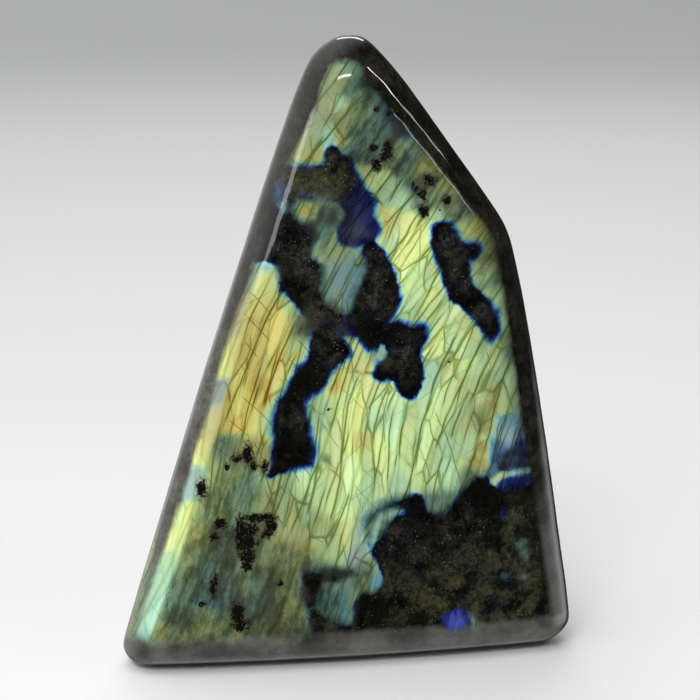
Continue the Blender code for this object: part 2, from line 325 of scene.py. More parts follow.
# dabs of each colour: (across, up, reach) in mm
flashDabs = {
    "indigo": [(5.5, 140.5, 1.8), (8.6, 135.5, 2.2), (11.6, 130.5, 2.2), (40.5, 51, 1.6)],
    "royal": [
        (-20, 118.4, 2), (34.4, 44.7, 1.2), (36.8, 45, 1.3), (39.4, 45.4, 1.3), (41.6, 45.8, 1.2),
        (38.8, 54.4, 1.2),
    ],
    "cobalt": [(32.6, 50.6, 0.9), (31.8, 47.6, 0.8), (34.6, 37.4, 2)],
    "slate": [(-20, 117.6, 1.8), (35, 50.6, 1.6), (37.6, 50.4, 2.2), (40.5, 49.4, 1.8), (36, 48.9, 1.2)],
    "violet": [(21.8, 10.5, 2.6)],
    "azure": [(-5, 13.8, 2.4), (3.2, 22, 2), (33, 54, 1.6), (39, 57, 1.4)],
    "cyan": [
        (-8.2, 130.2, 2), (26.6, 9.8, 1.6), (-1, 146, 1.6), (-3.6, 147.2, 1.4), (25.8, 11, 1.4),
        (-18.8, 112.4, 1.2), (-22.4, 60.5, 1.6), (35.6, 60, 2.2),
    ],
    "speckCyan": [(39.6, 28, 2.5), (39.8, 20.9, 2), (35, 21.4, 2)],
    "mist": [
        (-5, 97.5, 4.5), (-4.5, 92, 4.5), (-8.5, 95, 2.5), (-4.2, 20, 2), (4.6, 78, 2), (17.5, 113, 2.5),
    ],
    "ice": [
        (1, 34.5, 1.7), (2.2, 36.8, 1.3), (0.4, 31.8, 1.5), (-24, 101, 1.6), (35.6, 57.6, 2.6), (0.6, 27, 2),
    ],
    "creamWhite": [
        (31.8, 45.2, 0.7), (33.2, 46.2, 0.7), (34.8, 46.9, 0.7), (36.8, 47.3, 0.7), (38.8, 47.4, 0.7),
        (40.8, 47.7, 0.7),
    ],
    "lilac": [(-2.4, 33.6, 1.8), (-1.6, 29.6, 2.2), (-23, 64, 1.6)],
    "teal": [
        (0, 140.5, 2.6), (1, 144, 2), (18, 40.6, 3.2), (26, 46, 2.6), (-48, 18, 3.5), (-8, 112, 2.2),
        (31, 95, 2), (-36, 28, 3.5), (-9.5, 105, 2), (5, 138.5, 2.6), (-44, 22, 4), (27.8, 8.4, 2.2),
        (-8, 17, 4), (-9.6, 20.4, 2.4), (-36, 20.5, 2.6), (-48, 17, 3), (-2, 22, 2.6), (0, 128, 2),
    ],
    "mint": [
        (-12.5, 64, 2.8), (9.5, 114.5, 2.5), (12.5, 88, 3), (33, 86.5, 2), (7.5, 46, 3), (15.5, 72.5, 3),
        (-4.6, 137.4, 1.6), (30.6, 96, 1.8), (33.4, 91, 1.8), (35, 85, 1.8), (-13.8, 80, 1.8), (17, 111, 2.4),
        (4, 62, 2.6),
    ],
    "moss": [
        (-42, 36, 4), (-46, 30, 3), (-49, 11.5, 3.5), (-42, 12, 4.5), (-36, 10, 4), (-25, 21, 4),
        (-20, 20, 4), (-24, 28, 3), (-38, 42.5, 3), (-33, 47, 3.4), (-29, 45, 3), (36.4, 79, 2.4),
        (38, 88, 2), (32, 98, 2.4), (-16, 27, 3), (-20, 30, 3), (24, 113, 2.6), (31, 104, 2),
    ],
    "dustyMoss": [
        (-35, 56, 2.4), (-35, 33, 3), (-27, 12.5, 4), (-19, 12, 4), (13.5, 117, 2.6), (-56.5, 6.5, 2),
        (-1, 132.5, 2.5), (-30, 21, 3), (-30, 8, 5),
    ],
    "deepTeal": [
        (7, 128, 3), (7, 136.5, 2.6), (2.5, 133, 2.6), (5, 132, 3), (12, 126, 2.6), (10, 124, 2.4),
        (3.6, 142, 2), (17, 115, 2.4), (0, 135.5, 2.6), (-0.6, 130.5, 2.6), (1, 127, 2.6),
    ],
    "leaf": [
        (-17.5, 92, 2.2), (35.5, 72, 2.4), (35.4, 67, 2), (35.4, 63.6, 1.6), (-16.5, 88.5, 1.8),
        (4, 119, 2.6), (-38, 51.5, 2.8), (-18, 44, 3), (-19, 37, 3.4), (-13.5, 36, 3), (30, 78, 3),
        (31, 71, 2.6), (-24, 48, 2.4), (30.5, 90, 2.4), (24, 106, 2), (26, 70, 2.6), (-9, 32, 2.4),
    ],
    "sage": [(-5, 145, 2.2), (-8.5, 140, 3), (-11, 134, 3), (-13, 129, 2.4), (-4, 134, 2)],
    "lime": [
        (0, 66, 5), (2, 50, 5), (12, 52, 5), (12, 62, 5), (20, 56, 5), (22, 72, 5), (13, 98, 4), (15, 92, 4),
        (-4, 49, 4), (26, 78, 4), (15, 105, 3.5), (18.5, 48, 3.5), (-9, 56, 3), (-9, 45, 3.4), (-14, 47, 2.6),
        (19, 64, 3.4), (6, 103, 2),
    ],
    "brightLime": [(6.5, 56, 4), (23, 75.5, 3), (20.5, 80.5, 4), (11, 107, 3), (14.5, 80, 1.5)],
    "straw": [
        (-27, 94.5, 3), (-33.5, 76, 2.4), (-4, 75.5, 3), (-29.6, 84, 2), (-16.8, 79, 2.4), (-3.8, 33.5, 2),
        (8.5, 110, 2.2), (-20, 73, 2.6), (17.5, 98, 2), (-23, 60, 2), (26, 84, 2), (0, 57, 2),
        (24.8, 68, 2.6), (24, 60, 2.6),
    ],
    "olive": [
        (12, 128, 2.6), (17.5, 122.5, 3), (28.5, 106.5, 2.4), (-25, 43, 2.6), (-25, 55.5, 2.2),
        (28.5, 61, 2.4), (-6, 103, 2.4), (-16, 31, 2.4), (-13, 127, 2.4), (-1, 120.5, 2), (-14, 112.3, 2.4),
        (22, 118, 2.6), (-4, 130, 1.8),
    ],
    "gold": [
        (-27.5, 80, 3.4), (-22.5, 78, 2.4), (-30, 73, 3), (-23, 66.5, 2.6), (-35, 64, 2.4), (-30, 66, 2.6),
        (-24, 90, 2.2), (-21, 85.5, 2.8), (-6.5, 71, 1.6), (5, 108.5, 1.6), (-32, 88, 1.6),
    ],
    "amber": [(-26, 71.5, 1.8), (-33, 70, 1.6)],
    "bronze": [(32.4, 68, 1.4), (31.6, 64, 1.2), (30.4, 59, 1), (29, 54, 1.2), (27.6, 50, 1.4)],
    "ash": [(-11, 86, 4), (22, 113, 2.6), (16.5, 118.5, 2), (-24, 5, 5), (0, 26.5, 1.8)],
}

# the grain runs along these leans: (across, up, degrees from level)
grainCombs = [
    (10, 115, 46), (24, 104, 44), (-10, 135, 62), (-2, 127, 50), (0, 143, 60), (-14, 112, 60), (-6, 96, 62),
    (8, 98, 46), (14, 90, 50), (-30, 80, 62), (-24, 92, 54), (-22, 72, 66), (0, 73, 62), (0, 55, 98),
    (6, 48, 100), (-4, 60, 90), (-7, 50, 98), (3, 60, 96), (8, 54, 98), (-5, 66, 84), (14, 46, 96),
    (12, 54, 88), (20, 50, 70), (25, 65, 64), (36, 62, 76), (22, 78, 58), (-8, 42, 86), (-16, 36, 70),
    (-30, 42, 80), (-45, 25, 67), (-50, 14, 60), (-38, 10, 74), (-25, 20, 72), (36, 90, 52), (10, 20, 70),
    (40, 20, 76),
]
grainGrid = {"across": (-70, 75), "up": (-10, 170), "step": 5, "soften": 30.0}

# black inclusions: (across, up, half width, half height)
sootSpecks = [
    (3.9, 123, 1.4, 1.8), (6.6, 126.9, 1.2, 2.3), (5.8, 124.9, 1, 1.2), (3, 127.2, 1.2, 1),
    (4.2, 136.3, 0.8, 0.8), (7, 135.3, 0.7, 0.7), (15, 111.9, 1.3, 1.7), (14.8, 115.9, 1.4, 1.3),
    (13.2, 117.4, 0.9, 0.9), (12.6, 118.8, 0.6, 0.5), (20.8, 114.2, 1.5, 1.2), (19.2, 111.9, 0.5, 0.4),
    (16.8, 119.2, 1.6, 1.4), (27.2, 103, 1.3, 0.6), (-28.8, 55, 1.3, 2.7), (-31.4, 53.9, 1.5, 0.9),
    (-27.4, 52, 1.1, 1.3), (-24.7, 51.8, 0.9, 1.5), (-33.8, 52.2, 0.6, 1.2), (-39.8, 46.8, 1.3, 2.6),
    (-26.8, 39.4, 4.8, 1), (-23.4, 37, 1.3, 2.4), (-31, 35.5, 1.3, 5), (-29.2, 33.6, 2.3, 2.4),
    (-28.6, 36.6, 2, 1.6), (-29.3, 30, 1.9, 2.3), (-29.5, 27.4, 1.4, 1.2), (-24.4, 35.2, 1.5, 1),
    (-35.8, 38.4, 1.6, 1.5), (-37.2, 34.9, 1.2, 1), (-36.9, 24.5, 0.7, 2), (-37.7, 22.6, 0.9, 2.5),
    (-32, 15.5, 1.6, 3.2), (-31.2, 13, 2.3, 1.7), (-21.4, 22.9, 0.8, 0.7), (-40.5, 18.6, 1.1, 0.7),
    (-10.3, 89.3, 1.2, 0.8), (-8, 88.6, 1.1, 0.7), (-6.2, 87.4, 1.2, 0.6), (-9, 65, 0.7, 0.4),
    (20.7, 75.6, 0.6, 0.5),
]

# smoky clouds that dull the flash: (across, up, reach)
smokeDabs = [
    (-30, 33, 5), (-27, 36.4, 3), (-36.5, 36.5, 2.6), (-37, 22, 4), (-31, 16, 4.5), (-23, 14, 5),
    (-24, 24, 4.5), (-15.5, 27.5, 3), (-10, 24.6, 1.8), (-6.6, 24.4, 1.7), (-3.4, 24.2, 1.5), (-0.4, 24, 1.2),
    (-16, 20, 2.6), (-28.5, 53.5, 2.2), (-24, 51.5, 1.8), (-40.3, 46.5, 1.6), (-35, 29, 3.5), (-44, 14, 3),
    (-25, 37.5, 3), (-8, 88.5, 3.4), (-14, 86, 3), (5, 124.5, 3), (15, 113, 2.6), (20.5, 114, 2.2),
    (17, 119.5, 2.4), (4.6, 136.4, 2.2), (-9.5, 53, 1.6), (23, 99.5, 1.6), (5.5, 76, 1.6), (29.5, 97, 1.6),
    (-8, 110.6, 3), (-15, 5, 8), (-40, 6, 5), (9, 131, 3.4), (-11.5, 109, 2),
]
smokeDepth = 0.8

# where a patch edge is soft rather than crisp: (across, up, reach)
softDabs = [
    (-12.5, 113, 5), (-6, 113, 4), (-11, 104, 4), (-8, 97, 4), (-3, 92, 4), (-8, 88, 4), (-19, 117, 3.5),
    (0, 99, 3.2), (-1.5, 94, 3.2), (-2.4, 88, 3), (-10.4, 96, 3.2), (-10, 91, 3.2), (-9, 116, 3.6),
    (-14.5, 113.5, 3.4), (1, 35, 3.4), (3, 40.5, 3.2), (8.5, 42.5, 3.6), (-8, 109.5, 3), (18, 40, 4),
    (26, 45.5, 4), (36, 43.5, 3), (-20, 98, 2.5), (-10, 25, 5), (-14, 18, 5), (-7, 13.5, 4.5), (0, 21, 4),
    (-3, 27, 4), (38, 48, 5), (33, 52, 4), (23.5, 10, 6.5), (39.5, 28, 3.5), (39.5, 21, 3), (34.8, 21.5, 3),
    (34.5, 37.2, 3.5), (3.5, 37.5, 3.5), (3, 128, 3),
]

# grey-brown haze over the dark body: (across, up, reach)
hazeDabs = [
    (-14, 119, 5), (-7, 118.5, 5), (-17, 104, 5), (-13, 96, 5), (-9, 87, 5), (-10, 119, 7), (3, 92, 5),
    (3, 100, 3.5), (10, 78, 4), (21, 104, 4), (24, 96, 4), (29, 86, 3), (-8, 108, 3), (-17, 63, 4),
    (-9, 79, 4), (9, 74, 3.5), (6, 33, 5), (22, 34, 6), (15, 25, 6), (30, 18, 6), (26, 26, 5),
]

# brown matrix inside the dark body: (across, up, reach)
soilDabs = [
    (-11, 86, 4), (-8, 119.5, 5), (-14, 119, 5), (-10, 118, 4), (9, 17, 6), (37, 36, 4.5), (33, 27, 4.5),
    (40, 14, 5), (24, 20, 7), (30, 14, 7), (40, 24, 5), (20, 14, 5), (-8, 8, 8), (17, 9, 4), (34, 12, 5),
    (5, 24, 3),
]

# width of the dark border round the flash: (up, mm)
rimBorders = {
    "left": [
        (0, 3), (20, 3.5), (43, 4.1), (62, 3.9), (82, 3.4), (91, 3.5), (101, 4), (109, 4), (113, 3.4),
        (118, 3.4), (121, 4.2), (129, 5.6), (137, 6.7), (142, 6.6), (148, 5.4), (154, 6.4),
    ],
    "right": [
        (0, 8.6), (20, 8.2), (50, 7.4), (60, 7.8), (80, 7.6), (92, 7.4), (102, 7), (109, 6.2), (122, 7.2),
        (130, 8.2), (136, 9), (142, 9.4), (148, 7.4), (154, 6.4),
    ],
    "middle": (-7, 2),  # where the left border hands over to the right one
    "foot": 4.5,
}

# the bright strip along the left rim, flash colour with a painted highlight in its extra glow and greyness:
# (up, width in mm, hue, glow, greyness)
leftStripAndHighlight = {
    "stops": [
        (4, 3, 0.45, 0.8, 0), (10, 3.4, 0.4, 1.15, 0.1), (16, 3.6, 0.41, 1.25, 0.1),
        (22, 3.6, 0.43, 1.25, 0.05), (29, 3.5, 0.48, 1.2, 0.05), (36, 3.4, 0.55, 1.2, 0),
        (43, 3.4, 0.6, 1.15, 0), (44.5, 3.4, 0.36, 1.2, 0.55), (51, 3.2, 0.34, 1.05, 0.6),
        (53, 3, 0.62, 1.15, 0.1), (60, 2.8, 0.68, 1.15, 0.25), (66, 2.6, 0.66, 1.05, 0.5),
        (68, 2.4, 0.36, 0.8, 0.8), (72, 2.4, 0.36, 0.8, 0.8), (74, 2.6, 0.58, 1.1, 0),
        (82, 2.4, 0.6, 1.05, 0.1), (84, 1.8, 0.68, 0.95, 0.45), (92, 1.5, 0.68, 0.85, 0.5),
        (94, 1.4, 0.5, 0.6, 0.5), (101, 1, 0.42, 0.5, 0.5),
    ],
    "edge": (1, -1),  # mm over which it fades
    "across": (-8, -16),
    "top": (101, 97),
}

# the pattern beyond the face: a darker body with duller flash on the walls and the back
sidePattern = {
    "depth": (5, 13),  # mm behind the face over which it takes over
    "dark": [(14, 24, (3.1, 0, 7.7)), (6, 8, (0, 6, 2))],  # mm, size, seed
    "darkBase": 1,
    "hues": [(0.35, 30, (9, 2, 1))],
    "hue": 0.5, "glow": 0.3, "veil": 0.35, "blue": 12, "rim": 1,
    "smoke": 0.3, "softEdge": 0.3, "haze": 0.4, "soil": 0.4, "soot": -1,
}


def outlineDistance(across, up, loop):
    # signed distance to a closed outline, negative inside it
    best = np.full(len(across), np.inf)
    inside = np.zeros(len(across), bool)
    for (ax, ay), (bx, by) in zip(loop, loop[1:] + loop[:1]):
        runX, runY = bx - ax, by - ay
        along = ((across - ax) * runX + (up - ay) * runY) / (runX**2 + runY**2)
        along = np.clip(along, 0.0, 1.0)
        best = np.minimum(best, (across - ax - along * runX) ** 2 + (up - ay - along * runY) ** 2)
        if ay != by:
            inside ^= ((ay > up) != (by > up)) & (across < runX * (up - ay) / runY + ax)
    return np.where(inside, -1.0, 1.0) * np.sqrt(best)


def nearestOf(across, up, loops):
    return np.min([outlineDistance(across, up, loop) for loop in loops.values()], axis=0)


def fade(value, low, high):
    part = np.clip((value - low) / (high - low), 0.0, 1.0)
    return part * part * (3.0 - 2.0 * part)


def fromDab(across, up, dab):
    # squared distance from a dab, in reaches
    x, y, reach = dab
    return ((across - x) ** 2 + (up - y) ** 2) / reach**2


def blendDabs(across, up, dabs, tones):
    weight, tail = flashRest["weight"], flashRest["tail"]
    total = np.full(len(across), weight)
    mixed = np.zeros((3, len(across))) + weight * np.array(flashRest["tone"])[:, None]
    for name, places in dabs.items():
        for dab in places:
            far = fromDab(across, up, dab)
            share = np.exp(-far) + tail / (1.0 + far) ** 2
            total += share
            mixed += share * np.array(tones[name])[:, None]
    return mixed / total


def coverOf(across, up, dabs, depth=1.0):
    return 1 - np.prod([1 - depth * np.exp(-fromDab(across, up, dab)) for dab in dabs], axis=0)


def grainField(combs):
    # solves for two maps whose level lines follow, and cross, the combed direction
    step = grainGrid["step"]
    xs, ys = (np.arange(*grainGrid[way], step) for way in ("across", "up"))
    wide, high = len(xs), len(ys)

    def lean(x, y):
        weights = [1.0 / ((x - cx) ** 2 + (y - cy) ** 2 + grainGrid["soften"]) for cx, cy, _ in combs]
        return math.radians(sum(w * a for w, (_, _, a) in zip(weights, combs)) / sum(weights))

    pull, goals = np.zeros((wide * high, wide * high)), np.zeros((wide * high, 2))
    pull[0, 0] = 1.0
    for j in range(high):
        for i in range(wide):
            for di, dj in ((1, 0), (0, 1)):
                if i + di < wide and j + dj < high:
                    here, there = j * wide + i, (j + dj) * wide + i + di
                    angle = lean(xs[i] + di * step / 2, ys[j] + dj * step / 2)
                    turn = (math.sin(angle), math.cos(angle)) if di else (-math.cos(angle), math.sin(angle))
                    pull[[here, there], [here, there]] += 1.0
                    pull[[here, there], [there, here]] -= 1.0
                    goals[there] += step * np.array(turn)
                    goals[here] -= step * np.array(turn)
    maps = np.linalg.solve(pull, goals)
    return xs, ys, maps.reshape(high, wide, 2)


def readField(across, up, field):
    xs, ys, maps = field
    step = xs[1] - xs[0]
    gx = np.clip((across - xs[0]) / step, 0.0, len(xs) - 1.001)
    gy = np.clip((up - ys[0]) / step, 0.0, len(ys) - 1.001)
    i, j = gx.astype(int), gy.astype(int)
    fx, fy = (gx - i)[:, None], (gy - j)[:, None]
    low = maps[j, i] * (1 - fx) + maps[j, i + 1] * fx
    high = maps[j + 1, i] * (1 - fx) + maps[j + 1, i + 1] * fx
    return low * (1 - fy) + high * fy


def rimDistance(across, up):
    # how far inside its dark border the face is
    outline = stoneForm["outline"]
    best = np.full(len(across), np.inf)
    for (ax, ay), (bx, by) in zip(outline, outline[1:]):
        runX, runY = bx - ax, by - ay
        best = np.minimum(best, ((across - ax) * runY - (up - ay) * runX) / math.hypot(runX, runY))
    left, right = (np.interp(up, *np.array(rimBorders[side]).T) for side in ("left", "right"))
    best -= left + (right - left) * fade(across, *rimBorders["middle"])
    return np.minimum(best, up - rimBorders["foot"])


def softNoise(points, layers):
    return sum(size * np.array([noise.noise(Vector(p) / reach + Vector(seed)) for p in points])
               for size, reach, seed in layers)


def storeVectors(mesh, name, *columns):
    stored = np.stack(columns, axis=1).astype(np.float32)
    layer = mesh.attributes.new(name, "FLOAT_VECTOR", "POINT")
    layer.data.foreach_set("vector", stored.ravel())


stone = sawBlock()
stone.name = "labradoriteStone"
grind(stone)
cutPoints = pointsOf(stone.data)
print("stone ground:", len(stone.data.polygons), "faces")

across = cutPoints[:, 0]
depth = -(cutPoints - faceCentre) @ faceNormal
upPlane = (cutPoints - faceCentre) @ faceUp * faceUp[2] + faceCentre[2]
sideways = fade(depth, *sidePattern["depth"])


def beyond(value, side):
    # hands over from the display face to the pattern of the sides
    return value * (1 - sideways) + (sidePattern[side] if isinstance(side, str) else side) * sideways


# the patches, and how far inside them or away from them each point is
dark = nearestOf(across, upPlane, darkPatches)
dark = np.maximum(dark, -nearestOf(across, upPlane, flashIslands))
dark = beyond(dark, softNoise(cutPoints, sidePattern["dark"]) + sidePattern["darkBase"])
blue = nearestOf(across, upPlane, blueAreas) + sidePattern["blue"] * sideways
rim = rimDistance(across, upPlane)

# the flash, with the bright strip over it, partly a painted highlight along the left bevel
hue, glow, veil = blendDabs(across, upPlane, flashDabs, flashTones)
stripUp, *stripStops = np.array(leftStripAndHighlight["stops"]).T
stripWidth, *stripTone = (np.interp(upPlane, stripUp, stops) for stops in stripStops)
strip = fade(rim - stripWidth, *leftStripAndHighlight["edge"]) * fade(across, *leftStripAndHighlight["across"])
strip = strip * fade(upPlane, *leftStripAndHighlight["top"])
hue, glow, veil = (value + strip * (tone - value) for value, tone in zip((hue, glow, veil), stripTone))
hue = beyond(hue, sidePattern["hue"] + softNoise(cutPoints, sidePattern["hues"]))
glow, veil, rim = beyond(glow, "glow"), beyond(veil, "veil"), beyond(rim, "rim")

# what lies over the flash and in the dark body
smoke = beyond(coverOf(across, upPlane, smokeDabs, smokeDepth), "smoke")
softEdge = beyond(coverOf(across, upPlane, softDabs), "softEdge")
haze = beyond(coverOf(across, upPlane, hazeDabs), "haze")
soot = np.max([1.0 - np.hypot((across - x) / w, (upPlane - y) / h) for x, y, w, h in sootSpecks], axis=0)
soot = beyond(np.clip(soot, -1.0, 1.0), "soot")
soil = np.clip(sum(np.exp(-fromDab(across, upPlane, dab)) for dab in soilDabs), 0, 1)
soil = beyond(soil, "soil")
grain = readField(across, upPlane, grainField(grainCombs))

storeVectors(stone.data, "zones", dark, blue, rim)
storeVectors(stone.data, "flash", hue, glow, veil)
storeVectors(stone.data, "grain", grain[:, 0], grain[:, 1], depth)
storeVectors(stone.data, "flaws", soot, soil, smoke)
storeVectors(stone.data, "edges", softEdge, haze, strip * (1 - sideways))
print("patches and grain laid out")

# hand-ground waves and small pits, then the same place as the solid
_, slope = stoneDistance(cutPoints)
outwards = slope / np.linalg.norm(slope, axis=1)[:, None]
waves = softNoise(cutPoints, stoneForm["waves"])
lift = stoneForm["waveHeight"] * waves - stoneForm["pitDepth"] * fade(soot, *stoneForm["pitEdge"])
lift *= fade(cutPoints[:, 2], *stoneForm["lapEdge"])
shaped = cutPoints + outwards * lift[:, None]
low, high = shaped.min(axis=0), shaped.max(axis=0)
middle = np.array([(low[0] + high[0]) / 2, (low[1] + high[1]) / 2, 0.0])
solidLow, solidHigh = (np.array(corner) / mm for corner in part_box("stone"))
fit = np.min((solidHigh - solidLow) / (high - low))
movePoints(stone.data, (shaped - middle) * min(fit, 1.0))
bpy.ops.object.shade_smooth()
print("stone polished, fit", round(float(fit), 4))

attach(stone, "root")
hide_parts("stone")


# builds shader nodes: sockets or numbers go in, a socket comes out
class NodeMaker:
    def __init__(self, tree):
        self.tree = tree

    def node(self, kind, inputs=None, **settings):
        made = self.tree.nodes.new("ShaderNode" + kind)
        for name, value in settings.items():
            setattr(made, name, value)
        for key, value in (inputs or {}).items():
            self.feed(made.inputs[key], value)
        return made

    def feed(self, socket, value):
        if isinstance(value, bpy.types.NodeSocket):
            self.tree.links.new(value, socket)
        else:
            socket.default_value = value

    def math(self, operation, first, *others):
        for other in others:
            first = self.node("Math", {0: first, 1: other}, operation=operation).outputs[0]
        return first

    def times(self, *values):
        return self.math("MULTIPLY", *values)

    def plus(self, *values):
        return self.math("ADD", *values)

    def minus(self, *values):
        return self.math("SUBTRACT", *values)

    def larger(self, *values):
        return self.math("MAXIMUM", *values)

    def smaller(self, *values):
        return self.math("MINIMUM", *values)

    def fade(self, value, low, high, start=0.0, end=1.0):
        names = ("Value", "From Min", "From Max", "To Min", "To Max")
        inputs = dict(zip(names, (value, low, high, start, end)))
        return self.node("MapRange", inputs, interpolation_type="SMOOTHSTEP").outputs["Result"]

    def mix(self, factor, a, b, blend="MIX"):
        return self.node("Mix", {0: factor, 6: a, 7: b}, data_type="RGBA", blend_type=blend).outputs[2]

    def tint(self, colour, other):
        return self.mix(1.0, colour, other, "MULTIPLY")

    def axes(self, vector):
        return self.node("SeparateXYZ", {0: vector}).outputs

    def channels(self, colour):
        return self.node("SeparateColor", {0: colour}).outputs

    def attribute(self, name):
        return self.node("Attribute", attribute_name=name).outputs["Vector"]

    def stretch(self, vector, scale, seed=(0.0, 0.0, 0.0)):
        return self.node("VectorMath", {0: vector, 1: scale, 2: seed}, operation="MULTIPLY_ADD").outputs[0]

    def dot(self, a, b):
        return self.node("VectorMath", {0: a, 1: b}, operation="DOT_PRODUCT").outputs["Value"]

    def noise(self, vector, scale=1.0, detail=2.0, roughness=0.5):
        inputs = {"Vector": vector, "Scale": scale, "Detail": detail, "Roughness": roughness}
        return self.node("TexNoise", inputs).outputs["Fac"]

    def cells(self, place, dimensions="3D", feature="F1"):
        inputs = {"W" if dimensions == "1D" else "Vector": place, "Scale": 1.0}
        return self.node("TexVoronoi", inputs, voronoi_dimensions=dimensions, feature=feature).outputs

    def cellEdge(self, place, dimensions="3D"):
        return self.cells(place, dimensions, "DISTANCE_TO_EDGE")["Distance"]

    def ramp(self, factor, stops):
        made = self.node("ValToRGB", {0: factor})
        elements = made.color_ramp.elements
        while len(elements) < len(stops):
            elements.new(0.5)
        for element, (place, colour) in zip(elements, stops):
            element.position = place
            element.color = (*colour, 1.0)
        return made.outputs["Color"]


